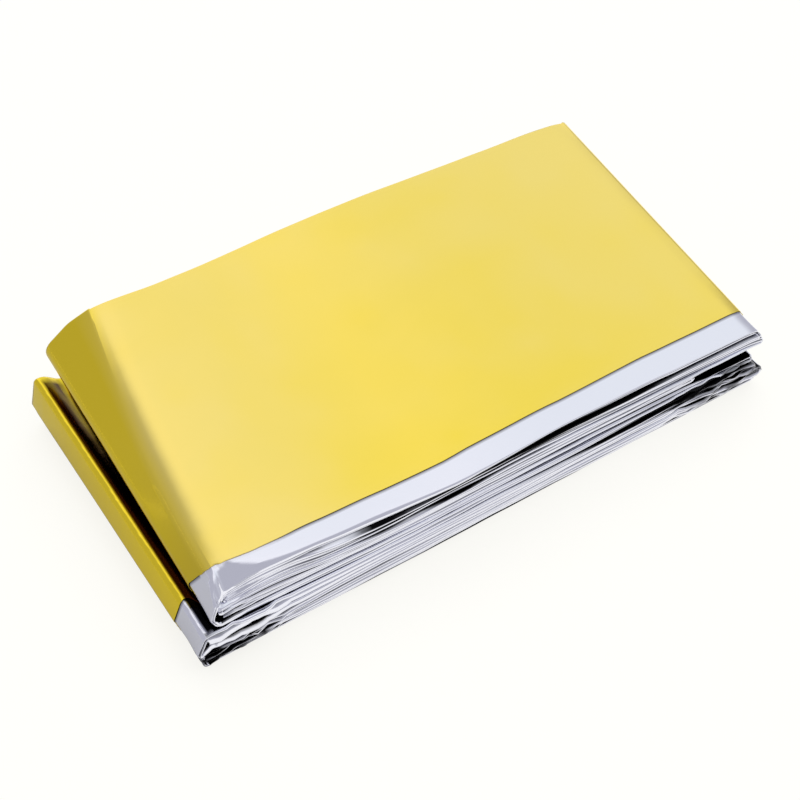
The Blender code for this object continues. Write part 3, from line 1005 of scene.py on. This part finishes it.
def plain_material(name, colour, roughness):
    """A matt surface of one colour."""
    made = bpy.data.materials.new(name)
    made.use_nodes = True
    shader = made.node_tree.nodes["Principled BSDF"]
    shader.inputs["Base Color"].default_value = linear(colour)
    shader.inputs["Roughness"].default_value = roughness
    return made


def sheet_on_floor(name, x_from, x_to, y_from, y_to, z, material):
    """A flat staged rectangle at height z."""
    corners = [(x_from, y_from, z), (x_to, y_from, z), (x_to, y_to, z), (x_from, y_to, z)]
    mesh = bpy.data.meshes.new(name)
    mesh.from_pydata(corners, [], [(0, 1, 2, 3)])
    mesh.materials.append(material)
    made = bpy.data.objects.new(name, mesh)
    studio.collection.objects.link(made)
    return made


opal = plain_material("opal_acrylic_lit_from_below", "#6A6A68", 0.9)
opal.node_tree.nodes["Principled BSDF"].inputs["Emission Color"].default_value = linear("#FEFDF8")
opal.node_tree.nodes["Principled BSDF"].inputs["Emission Strength"].default_value = FLOOR_GLOW
floor = sheet_on_floor("floor", -3.0, 3.0, -3.0, 3.0, 0.0, opal)
card = sheet_on_floor(
    "grey_card", -0.9, CARD_RIGHT_EDGE, -0.6, 0.9, CARD_HEIGHT, plain_material("grey_paper", "#B0B0B0", 0.9)
)
card.visible_camera = card.visible_diffuse = card.visible_shadow = False
print("card ends", round(-CARD_RIGHT_EDGE / MM, 1), "mm to the left of the pack's middle")

# %% [markdown]
# ## Tent
# A white tent stands all round. It is grey to the left, to the far right and low in front, so that
# faces turned that way go darker, as product photographers do with dark cloths. A little to the
# right its white is a shade cooler.

# %% Tent walls
TENT_WHITE, TENT_COOL, TENT_GREY = "#FFFFFF", "#F3F6F7", "#BEBEC5"
WALLS = (("X", -0.2, 0.14), ("X", 0.9, 0.64), ("Y", -0.74, -0.42))
tent = bpy.data.worlds.new("tent")
studio.world = tent
tent.use_nodes = True
tree = tent.node_tree
tree.nodes.clear()
direction = add(tree, "ShaderNodeTexCoord")
axes = add(tree, "ShaderNodeSeparateXYZ", Vector=direction.outputs["Generated"])


def smooth_from(axis, low, high):
    """0 where the direction's share along an axis is at low, 1 where it is at high, eased between."""
    made = add(tree, "ShaderNodeMapRange",
               [("interpolation_type", "SMOOTHSTEP"), ("From Min", low), ("From Max", high)],
               Value=axes.outputs[axis])
    return made.outputs["Result"]


left_lit, right_lit, front_lit = (smooth_from(*wall) for wall in WALLS)
both_sides = add(tree, "ShaderNodeMath", [("operation", "MULTIPLY")], i0=left_lit, i1=right_lit)
all_lit = add(tree, "ShaderNodeMath", [("operation", "MULTIPLY")], i0=both_sides.outputs[0], i1=front_lit)
white = add(tree, "ShaderNodeMix",
            [("data_type", "RGBA"), (6, linear(TENT_WHITE)), (7, linear(TENT_COOL))],
            i0=smooth_from("X", 0.25, 0.55))
walls = add(tree, "ShaderNodeMix", [("data_type", "RGBA"), (6, linear(TENT_GREY))],
            i0=all_lit.outputs[0], i7=white.outputs[2])
glow = add(tree, "ShaderNodeBackground", [("Strength", 1.0)], Color=walls.outputs[2])
add(tree, "ShaderNodeOutputWorld", Surface=glow.outputs["Background"])
print("tent with", len(WALLS), "grey sides,", len(tree.nodes), "nodes")

# %% [markdown]
# ## Overhead light
# One large soft light hangs above the pack and adds its even brightness, but the foil doesn't mirror
# it, because a bright square on the top would look like a window.

# %% Lamp
overhead = bpy.data.lights.new("overhead", "AREA")
overhead.size = 2.0
overhead.energy = 14.0
lamp = bpy.data.objects.new("overhead", overhead)
lamp.matrix_world = Matrix.Translation((0.1, 0.1, 1.1))
lamp.visible_glossy = False
studio.collection.objects.link(lamp)
print("light", overhead.size, "m wide at", overhead.energy, "W")

# %% [markdown]
# ## Camera
# The pack is seen from above, in front and to the left. The angles and distances, in lengths of the
# pack, come from how its parallel edges draw together in the picture.

# %% View
AZIMUTH, ELEVATION, ROLL = -0.62628, 0.87447, 0.05761
DISTANCE, SIDE, UP = 2.43572, -0.23019, -0.26116
PACK_LENGTH = 140.8
AIM = np.array([-66.011, -38.95, 25.5])
level = np.cos(ELEVATION)
back = np.array([np.sin(AZIMUTH) * level, -np.cos(AZIMUTH) * level, np.sin(ELEVATION)])
right = np.cross([0.0, 0.0, 1.0], back)
right /= np.linalg.norm(right)
up = np.cross(back, right)
turned = np.array([
    np.cos(ROLL) * right + np.sin(ROLL) * up,
    -np.sin(ROLL) * right + np.cos(ROLL) * up,
    back,
])
eye = turned.T @ np.array([-SIDE, -UP, DISTANCE]) * PACK_LENGTH + AIM
camera = bpy.data.objects.new("camera", bpy.data.cameras.new("camera"))
camera.data.lens = 76.5
camera.data.clip_start, camera.data.clip_end = 0.01, 20.0
stand = np.eye(4)
stand[:3, :3], stand[:3, 3] = turned.T, eye * MM
camera.matrix_world = Matrix(stand.tolist())
studio.collection.objects.link(camera)
studio.camera = camera
studio.view_settings.view_transform = "Standard"
print("camera at", np.round(eye, 0), "mm")
